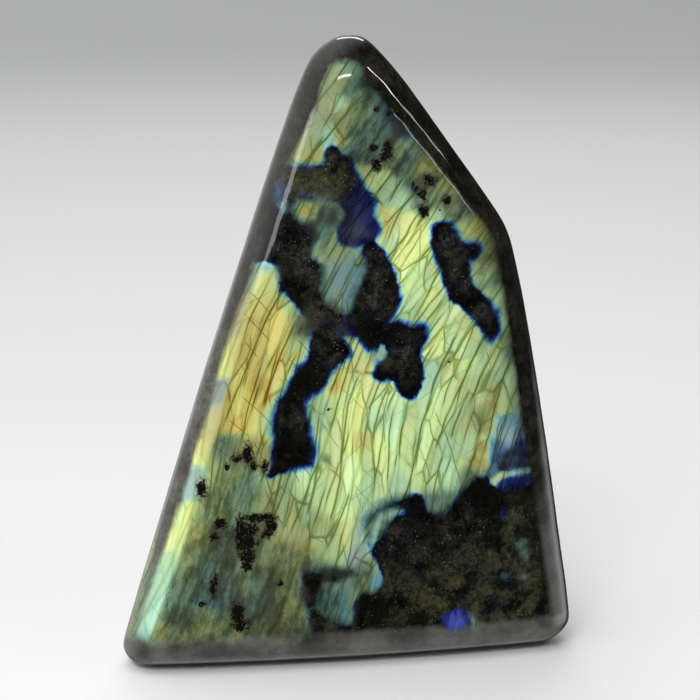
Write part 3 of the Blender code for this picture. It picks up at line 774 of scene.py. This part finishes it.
labradorite = {
    "ior": 1.56,
    "flashRun": [
        (0, (0.008, 0.009, 0.06)), (0.1, (0.018, 0.03, 0.24)), (0.2, (0.045, 0.14, 0.44)),
        (0.32, (0.2, 0.5, 0.56)), (0.42, (0.42, 0.68, 0.48)), (0.52, (0.54, 0.74, 0.37)),
        (0.6, (0.66, 0.75, 0.28)), (0.68, (0.72, 0.67, 0.21)), (0.78, (0.68, 0.5, 0.12)),
        (0.88, (0.5, 0.31, 0.05)), (1, (0.33, 0.15, 0.03)),
    ],
    "body": (0.0018, 0.0018, 0.0014, 1), "haze": (0.04, 0.04, 0.03, 1), "soil": (0.05, 0.05, 0.027, 1),
    # the pale rim tone is a painted reflection of the bright room on the left
    "rim": (0.007, 0.008, 0.005, 1), "rimBrown": (0.021, 0.018, 0.013, 1), "rimPaintedReflection": (0.085, 0.08, 0.06, 1),
    "plateShade": (0.52, 0.6, 0.32, 1), "veil": (0.34, 0.38, 0.33, 1), "cream": (0.76, 0.72, 0.44, 1),
    "greenCrack": (0.26, 0.29, 0.1, 1), "goldCrack": (0.3, 0.18, 0.03, 1), "smoke": (0.035, 0.034, 0.025, 1),
    # foot: a grey painted reflection of the pale floor on the lower bevel
    "foot": (0.135, 0.138, 0.124, 1), "copper": (0.56, 0.38, 0.25, 1), "brass": (0.7, 0.58, 0.32, 1),
    "soot": (0.005, 0.0045, 0.0035, 1), "sootBrown": (0.2, 0.12, 0.06, 1), "sawn": (0.13, 0.13, 0.12, 1),
    # cleavage families: lean to the grain, mm between planes, seed
    "families": {
        "wide": (0, 3.3, 2.3), "steep": (-0.15, 4.6, 7.9), "fine": (0.06, 1.4, 4.1),
        "slant": (0.55, 7.5, 11.7), "counter": (-0.8, 13, 18.4), "bold": (-0.05, 8, 15.3),
    },
    "planeBend": ((0.05, 0.03, 0.05), 6),  # noise scale, mm
    "planeWiggle": ((0.3, 0.16, 0.2), 0.8),
    # longish cells between the planes
    "chipScale": (0.2, 0.085, 0.1), "chipSize": 5, "chipBend": 0.3,
    # cracks: width in mm, seed, noise range in which they show, strength
    "cracks": {
        "wide": (0.26, 1, 0.45, 0.6, 1), "steep": (0.3, 5, 0.45, 0.54, 1),
        "fine": (0.2, 9, 0.48, 0.64, 0.4), "bold": (0.5, 21, 0.46, 0.54, 1),
        "counter": (0.24, 27, 0.42, 0.6, 0.5), "slant": (0.26, 14, 0.52, 0.62, 0.8),
        "chips": (0.22, 17, 0.42, 0.58, 0.8),
    },
    "crackShow": (0.16, 0.05, 0.08),
    "crackCore": 0.25,  # share of the width that is fully dark
    # straight cracks across the stone, whatever its grain
    "crossLean": math.radians(50), "crossSpacing": 4.6, "crossWander": 9,
    "crossCracks": (0.22, 3, 0.47, 0.56),
    # noises in the stone: scale per mm, detail, roughness
    "noises": {
        "cloud": (0.13, 3, 0.55), "patchy": (0.07, 2, 0.5), "ragged": (0.33, 4, 0.6),
        "wander": (0.04, 1, 0.5), "glimmer": (0.3, 5, 0.65), "smoke": (0.32, 5, 0.62),
        "earth": (0.16, 5, 0.65), "dust": (0.26, 6, 0.8), "fineGrain": (1, 4, 0.75),
        "spots": (0.5, 4, 0.7), "clump": (0.2, 4, 0.6), "speck": (1.1, 4, 0.7),
        "scuff": (0.3, 5, 0.7),
    },
    # the same along the grain: scales, detail, roughness
    "grainNoises": {
        "streak": ((0.9, 0.06, 0.1), 3, 0.6), "mottle": ((0.5, 0.17, 0.3), 4, 0.65),
        "chipBend": ((0.2, 0.1, 0.1), 2, 0.5),
    },
    # how ragged each border is, in mm
    "raggedPatch": 2.4, "raggedStreak": 0.9, "raggedRim": 1.2, "raggedFoot": 2.4,
    "raggedSpeck": 2.6, "raggedSmoke": 1.7, "raggedLow": 4, "softLift": 0.14,
    # shifts in the colour run
    "plateHues": 0.035, "chipHues": 0.09, "streakHues": 0.05,
    "edgeHue": (0.05, 0.44),  # start in mm, rise per mm
    "softHue": (0.14, 0.35),  # rise per mm, start
    "blueHue": (0.26, 0.09),
    "thinHaze": 0.12, "dotsPerMm": 2.2, "sawnRoughness": 0.7,
    "speckBump": (0.08, 0.1),  # strength, and depth in mm
    # fades: where each starts and ends, then its strength at both ends
    "fades": {
        "crossSide": (10, -14, 0.3, 0.8), "wideShade": (0, 0.7, 0.5, 1), "steepShade": (0, 0.8, 0.5, 1),
        "chipShade": (0, 0.12, 0.75, 1), "crispness": (0.36, 0.62, 0.42, 1), "softening": (0.1, 0.8, 1, 0.42),
        "mottleHue": (0.3, 0.55, 0.5, 0.12), "softHueGuard": (0.1, 0.7, 0.6, 0),
        "plateLight": (0, 2, 0.85, 1.12), "chipLight": (0, 1, 0.86, 1.12), "fineLight": (0, 1, 0.96, 1.03),
        "streakLight": (0.3, 0.7, 0.95, 1.05), "paleArea": (0.4, 0.6), "paleChip": (0.3, 1, 0, 0.36),
        "paleCalm": (0.1, 0.6, 1, 0), "paleHue": (0.48, 0.56), "veilEdge": (0.5, 2),
        "flashEdge": (-0.25, 0.8), "blueEdge": (-0.4, 1.4, 0.55, 1), "glimmer": (0.5, 0.64),
        "glimmerDepth": (-9, -1, 0, 0.28), "mottle": (0.37, 0.63, 0.42, 1.45), "mottleGlow": (0.2, 0.6),
        "rimShade": (0, 4, 0.45, 1), "rimShadeSide": (6, -4), "inRim": (-0.9, 0.8), "inFoot": (9, 13),
        "smoke": (0.1, 0.9, 0, 0.7), "smokeArea": (0.02, 0.2), "dust": (0.38, 0.7, 0, 1.3),
        "earth": (0.42, 0.62), "fineGrain": (0.34, 0.68, 0.5, 1.6), "darkStreak": (0.3, 0.8, 0, 0.3),
        "rimBrown": (0.35, 0.65), "leftRimReflection": (-12, -26), "leftRimTop": (104, 62), "leftRimBrown": (0.3, 0.7),
        "spots": (0.35, 0.65, 0.45, 1.5), "foot": (8.6, 10.6, 1, 0), "footCloud": (0.3, 0.7, 0.35, 1),
        "dot": (0.12, 0.3, 1, 0), "dotChance": (0.84, 0.98), "clump": (0.44, 0.62, 0, 0.85),
        "dotGround": (0, 0.5, 0.35, 1), "goldCrack": (0.62, 0.72), "crackFlash": (0.05, 0.3),
        "crackGlow": (0.25, 0.65, 0.35, 0.9), "crackCalm": (0.2, 0.8, 1, 0.35), "speck": (-0.3, 0.35),
        "speckArea": (-0.8, -0.3), "glitter": (0.2, 0.4, 0.6, 0), "glitterChance": (0.6, 0.75),
        "sawn": (0.25, 0.05), "scuff": (0.3, 0.8, 0.035, 0.08),
    },
}


def cleavage(shader, grain, lean, spacing, seed):
    # one family of cleavage planes that runs with the grain: (mm to the nearest plane, tints of the plates)
    side, along, _ = shader.axes(grain)
    (bendScale, bend), (wiggleScale, wiggle) = labradorite["planeBend"], labradorite["planeWiggle"]
    bends = shader.noise(shader.stretch(grain, bendScale, (seed, 0.0, 0.0)), 1.0, 1.0)
    wiggles = shader.noise(shader.stretch(grain, wiggleScale, (seed, seed, 0.0)))
    shift = shader.plus(shader.times(along, lean), shader.times(wiggles, wiggle), shader.times(bends, bend))
    place = shader.plus(shader.math("DIVIDE", shader.plus(side, shift), spacing), seed)
    tints = shader.channels(shader.cells(place, "1D")["Color"])
    return shader.times(shader.cellEdge(place, "1D"), spacing), tints


def crackOf(shader, grain, distance, width, seed, low, high):
    # thin dark lines along those planes, which come and go
    here = shader.noise(shader.stretch(grain, labradorite["crackShow"], (seed, seed, 0.0)))
    line = shader.fade(distance, labradorite["crackCore"] * width, width, 1.0, 0.0)
    return shader.times(line, shader.fade(here, low, high))


def labradoriteMaterial():
    look = labradorite
    material = bpy.data.materials.new("labradoritePolish")
    material.use_nodes = True
    shader = NodeMaker(material.node_tree)
    times, plus, minus = shader.times, shader.plus, shader.minus
    larger, smaller, mix, tint = shader.larger, shader.smaller, shader.mix, shader.tint
    axes, attribute = shader.axes, shader.attribute

    def faded(value, name):
        return shader.fade(value, *look["fades"][name])

    inMm = shader.stretch(shader.node("TexCoord").outputs["Object"], (1 / mm,) * 3)
    placeX, _, placeZ = axes(inMm)
    dark, blue, rim = axes(attribute("zones"))
    hue, glow, veil = axes(attribute("flash"))
    soot, soil, smoke = axes(attribute("flaws"))
    softEdge, haze, calm = axes(attribute("edges"))
    grain = attribute("grain")
    noises = {name: shader.noise(inMm, *values) for name, values in look["noises"].items()}
    for name, (scale, *values) in look["grainNoises"].items():
        noises[name] = shader.noise(shader.stretch(grain, scale), 1.0, *values)

    def patches(name):
        return faded(noises[name], name)

    cloud, streak = noises["cloud"], noises["streak"]
    steps, ragged = minus(streak, 0.5), minus(noises["ragged"], 0.5)

    # plates that each have their own tint, and thin cracks between them
    distances, tints = {}, {}
    for name, family in look["families"].items():
        distances[name], tints[name] = cleavage(shader, grain, *family)
    chipBend = times(noises["chipBend"], look["chipBend"])
    chipPlace = {0: shader.stretch(grain, look["chipScale"]), 1: chipBend}
    chipPlace = shader.node("VectorMath", chipPlace, operation="ADD").outputs[0]
    chipEdge = shader.cellEdge(chipPlace)
    chipHue, chipLight, chipPale = shader.channels(shader.cells(chipPlace)["Color"])
    distances["chips"] = times(chipEdge, look["chipSize"])
    cracks = [times(crackOf(shader, grain, distances[name], *line), strength)
              for name, (*line, strength) in look["cracks"].items()]
    crossPlace = plus(times(placeX, math.sin(look["crossLean"])), times(placeZ, math.cos(look["crossLean"])))
    crossPlace = plus(crossPlace, times(noises["wander"], look["crossWander"]))
    crossEdge = shader.cellEdge(shader.math("DIVIDE", crossPlace, look["crossSpacing"]), "1D")
    crossCrack = crackOf(shader, inMm, times(crossEdge, look["crossSpacing"]), *look["crossCracks"])
    cracks = larger(*cracks, times(crossCrack, faded(placeX, "crossSide")))
    shade = times(faded(distances["wide"], "wideShade"), faded(distances["steep"], "steepShade"))
    shade = times(shade, faded(chipEdge, "chipShade"))

    # ragged patch edges, crisp here and soft there
    raggedMm = plus(times(ragged, look["raggedPatch"]), times(steps, look["raggedStreak"]))
    darkEdge = times(plus(dark, raggedMm), faded(noises["patchy"], "crispness"))
    softened = plus(times(darkEdge, faded(softEdge, "softening")), times(softEdge, look["softLift"]))
    blueEdge = plus(blue, raggedMm)
    inRim = faded(plus(rim, plus(times(steps, look["raggedRim"]), ragged)), "inRim")
    onRim = minus(1.0, inRim)
    inFoot = faded(plus(placeZ, times(cloud, look["raggedLow"])), "inFoot")

    # the flash: its place in the colour run, then its light
    plateHue = minus(plus(tints["wide"][0], tints["steep"][0]), 1.0)
    tinted = plus(
        hue, times(plateHue, look["plateHues"]), times(minus(chipHue, 0.5), look["chipHues"]),
        times(steps, look["streakHues"]), times(minus(cloud, 0.5), faded(glow, "mottleHue")))
    edgeStart, edgeRise = look["edgeHue"]
    softRise, softStart = look["softHue"]
    blueRise, blueStart = look["blueHue"]
    edgeHue = times(plus(darkEdge, edgeStart), edgeRise)
    softHue = minus(plus(times(darkEdge, softRise), softStart), faded(softEdge, "softHueGuard"))
    blueHue = plus(times(larger(blueEdge, 0.0), blueRise), blueStart)
    flashPlace = smaller(tinted, smaller(larger(edgeHue, softHue), blueHue))
    flashPlace = larger(flashPlace, 0.0)
    flash = shader.ramp(flashPlace, look["flashRun"])
    light = times(
        faded(plus(tints["wide"][1], tints["steep"][1]), "plateLight"), faded(chipLight, "chipLight"),
        faded(tints["fine"][1], "fineLight"), faded(streak, "streakLight"), larger(glow, 1.0))
    pale = times(faded(noises["patchy"], "paleArea"), faded(chipPale, "paleChip"), faded(calm, "paleCalm"))
    flash = mix(times(pale, faded(flashPlace, "paleHue")), flash, look["cream"])
    flash = tint(flash, light)
    flash = mix(minus(1.0, shade), flash, tint(flash, look["plateShade"]))
    flash = mix(times(veil, faded(darkEdge, "veilEdge")), flash, look["veil"])

    # its strength: weaker at patch edges, at the rim and the foot, and faintly there in the haze
    strength = times(glow, faded(softened, "flashEdge"), faded(blueEdge, "blueEdge"))
    glimmer = times(patches("glimmer"), faded(darkEdge, "glimmerDepth"))
    strength = larger(strength, times(glimmer, haze))
    strength = times(strength, shader.fade(glow, *look["fades"]["mottleGlow"], patches("mottle"), 1.0))
    strength = times(strength, larger(faded(rim, "rimShade"), faded(placeX, "rimShadeSide")))
    strength = times(strength, times(inRim, inFoot))

    # the dark body: haze, brown matrix, rim and foot, with painted reflections on the lower left rim and the
    # foot
    hazy = times(larger(haze, look["thinHaze"]), patches("dust"))
    body = mix(hazy, look["body"], look["haze"])
    body = mix(times(soil, patches("earth")), body, look["soil"])
    body = tint(body, patches("fineGrain"))
    body = mix(faded(streak, "darkStreak"), body, (0.0, 0.0, 0.0, 1.0))
    body = mix(onRim, body, mix(faded(cloud, "rimBrown"), look["rim"], look["rimBrown"]))
    # the lower left rim is painted paler: a painted reflection of the bright room on the left, mottled with
    # the rim's own brown
    leftRimReflection = times(faded(placeX, "leftRimReflection"), faded(placeZ, "leftRimTop"), onRim)
    body = mix(leftRimReflection, body, mix(faded(cloud, "leftRimBrown"), look["rimPaintedReflection"], look["rimBrown"]))
    body = mix(onRim, body, tint(body, patches("spots")))
    # the foot band is painted grey: a painted reflection of the pale floor, mottled by the cloud noise
    foot = faded(plus(placeZ, times(ragged, look["raggedFoot"])), "foot")
    body = mix(times(foot, faded(cloud, "footCloud")), body, look["foot"])

    # copper and brass sparkles
    dots = shader.cells(shader.stretch(inMm, (look["dotsPerMm"],) * 3))
    dotChance, dotHue, dotShine = shader.channels(dots["Color"])
    sparkle = times(faded(dots["Distance"], "dot"), faded(dotChance, "dotChance"))
    ground = faded(plus(soil, plus(haze, foot)), "dotGround")
    sparkle = times(sparkle, times(patches("clump"), ground))
    body = mix(sparkle, body, mix(dotHue, look["copper"], look["brass"]))

    # flash over body, then the cracks, smoke and black inclusions
    colour = mix(smaller(strength, 1.0), body, flash)
    crackTint = mix(faded(flashPlace, "goldCrack"), look["greenCrack"], look["goldCrack"])
    cracks = times(cracks, times(faded(strength, "crackFlash"), faded(glow, "crackGlow")))
    cracks = times(cracks, faded(calm, "crackCalm"))
    colour = mix(cracks, colour, tint(colour, crackTint))
    smoky = plus(smoke, times(minus(noises["smoke"], 0.5), look["raggedSmoke"]))
    smoky = times(faded(smoky, "smoke"), faded(smoke, "smokeArea"))
    colour = mix(times(smoky, inRim), colour, look["smoke"])
    speck = plus(soot, times(minus(noises["speck"], 0.5), look["raggedSpeck"]))
    speck = times(faded(speck, "speck"), faded(soot, "speckArea"))
    glitter = times(faded(dots["Distance"], "glitter"), faded(dotShine, "glitterChance"))
    colour = mix(speck, colour, mix(glitter, look["soot"], look["sootBrown"]))

    # the sawn base
    sawn = faded(placeZ, "sawn")
    colour = mix(sawn, colour, look["sawn"])
    roughness = larger(patches("scuff"), times(sawn, look["sawnRoughness"]))

    surface = material.node_tree.nodes["Principled BSDF"].inputs
    bumpStrength, bumpDepth = look["speckBump"]
    bump = shader.node(
        "Bump", {"Strength": bumpStrength, "Distance": bumpDepth * mm, "Height": minus(1.0, speck)})
    shader.feed(surface["Base Color"], colour)
    shader.feed(surface["Roughness"], roughness)
    shader.feed(surface["IOR"], look["ior"])
    shader.feed(surface["Normal"], bump.outputs[0])
    return material


stone.data.materials.clear()
stone.data.materials.append(labradoriteMaterial())
print("polish applied")

studio = {
    "floorSize": 30,
    "floorColour": (0.86, 0.86, 0.86, 1),
    "floorRoughness": 0.7,
    "room": (0.95, 0.965, 0.96, 1),
    "brightSide": (-0.75, 0.45, 0.48),
    # the room's light by direction: from and to, then dim and bright
    "roomFade": (0, 0.85, 0.022, 1),
    "floorRight": (0.65, 0.92),
    "floorBelow": (0.06, 0.2, 0, 1.5),
    "floorUnder": (0.45, 0.85, 0, 0.45),
    "viewAzimuth": -10,
    "viewElevation": 12,
    "viewDistance": 0.52,
    "viewTarget": (0.0026, 0, 0.0746),
    "lens": 107.1,
    "sensor": 36,
    # name, azimuth, elevation, distance, turn, size, power, seen in the polish
    "softboxes": [
        ("overhead", -30, 76, 1.2, 0, (0.9, 0.7), 4.2, False),
        ("front", -25, 40, 1.3, 0, (0.5, 0.3), 6.6, False),
        ("windowLeft", -49, 23.5, 1.1, 0, (0.26, 0.22), 0.64, True),
        ("topDash", -4, 31.5, 1, -9, (0.27, 0.035), 0.5, True),
        ("edgeLow", 36, 20.7, 1, -9, (0.36, 0.02), 0.12, True),
        ("edgeBright", 49.5, 38, 1, -38, (0.25, 0.024), 0.5, True),
        ("edgeHigh", 68, 32, 1, -8, (0.36, 0.02), 0.14, True),
        ("crown", 164, 43, 1.6, 0, (0.85, 0.24), 3.6, True),
    ],
}


def aroundStone(azimuth, elevation, distance, turn=0.0):
    azimuth, elevation = math.radians(azimuth), math.radians(elevation)
    level = math.cos(elevation)
    away = Vector((math.sin(azimuth) * level, -math.cos(azimuth) * level, math.sin(elevation)))
    facing = away.to_track_quat("Z", "Y") @ Quaternion((0.0, 0.0, 1.0), math.radians(turn))
    return Vector(studio["viewTarget"]) + away * distance, facing.to_euler()


def setFloor():
    bpy.ops.object.select_all(action="DESELECT")
    bpy.ops.mesh.primitive_plane_add(size=studio["floorSize"], location=(0.0, 0.0, 0.0))
    floor = bpy.context.object
    floor.name = "floor"
    paper = bpy.data.materials.new("paper")
    paper.use_nodes = True
    sheet = paper.node_tree.nodes["Principled BSDF"].inputs
    sheet["Base Color"].default_value = studio["floorColour"]
    sheet["Roughness"].default_value = studio["floorRoughness"]
    floor.data.materials.append(paper)
    floor.visible_glossy = False  # keeps the pale floor out of the polish
    floor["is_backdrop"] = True


def setLights():
    for name, azimuth, elevation, distance, turn, size, power, inPolish in studio["softboxes"]:
        place, facing = aroundStone(azimuth, elevation, distance, turn)
        bpy.ops.object.light_add(type="AREA", location=place, rotation=facing)
        softbox = bpy.context.object
        softbox.name = name
        softbox.data.shape = "RECTANGLE"
        softbox.data.size, softbox.data.size_y = size
        softbox.data.energy = power
        softbox.visible_camera = False
        softbox.visible_glossy = inPolish
    world = bpy.data.worlds.new("softRoom")
    bpy.context.scene.world = world
    world.use_nodes = True
    shader = NodeMaker(world.node_tree)
    away = shader.node("TexCoord").outputs["Generated"]
    sides = (studio["brightSide"], (1.0, 0.0, 0.0), (0.0, 0.0, -1.0))
    bright, right, below = (shader.dot(away, side) for side in sides)
    room = shader.fade(bright, *studio["roomFade"])
    # the pale floor as the lower bevels mirror it
    floorRight = shader.times(
        shader.fade(right, *studio["floorRight"]), shader.fade(below, *studio["floorBelow"]))
    room = shader.larger(room, floorRight, shader.fade(below, *studio["floorUnder"]))
    sky = world.node_tree.nodes["Background"].inputs
    shader.feed(sky["Color"], studio["room"])
    shader.feed(sky["Strength"], room)
    bpy.context.scene.view_settings.view_transform = "Standard"


def setCamera():
    place, turn = aroundStone(studio["viewAzimuth"], studio["viewElevation"], studio["viewDistance"])
    bpy.ops.object.camera_add(location=place, rotation=turn)
    camera = bpy.context.object
    camera.data.lens = studio["lens"]
    camera.data.sensor_width = studio["sensor"]
    bpy.context.scene.camera = camera


setFloor()
setLights()
setCamera()
print("studio set")

boxes = {"solid": solidBox, "seen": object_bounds()}
{name: [list(corner) for corner in box] for name, box in boxes.items()}
